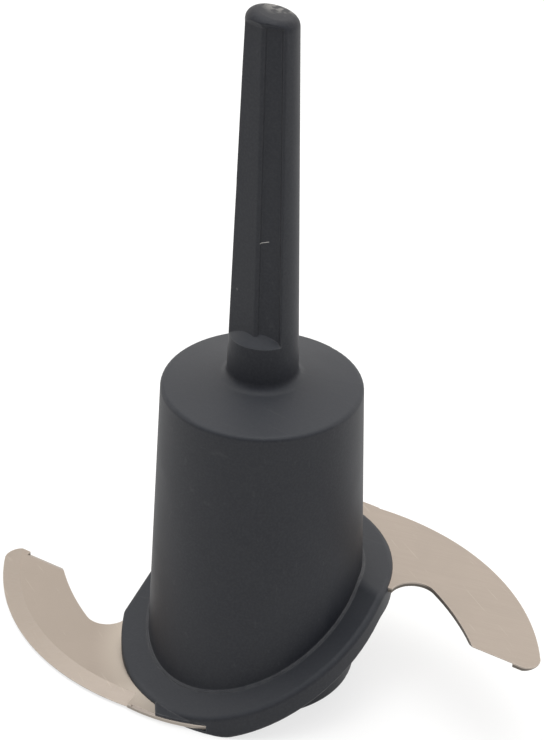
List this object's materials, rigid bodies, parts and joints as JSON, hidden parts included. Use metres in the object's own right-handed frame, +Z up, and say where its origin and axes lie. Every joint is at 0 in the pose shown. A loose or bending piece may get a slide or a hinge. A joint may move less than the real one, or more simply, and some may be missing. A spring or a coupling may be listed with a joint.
{
  "type": "food processor blade",
  "caption": "Cutter for a food processor bowl: a hollow hub with a tall grip finger, and sickle blades moulded into its tilted collar at different heights.",
  "frame": {"origin": "on the drive axis, in the plane that the foot ring stands on", "axes": "+Z up along the drive axis towards the finger; +X towards the side of the upper blade; -Y towards the side where the finger is scooped out"},
  "size_m": [0.153, 0.0892, 0.2008],
  "materials": {
    "hub_plastic": "matte moulded plastic, dark blue-grey",
    "blade_steel": "satin stainless sheet with a ground cutting bevel"
  },
  "bodies": {
    "root": {"hub": "hub_plastic", "lower_blade": "blade_steel", "upper_blade": "blade_steel"}
  },
  "joints": []
}
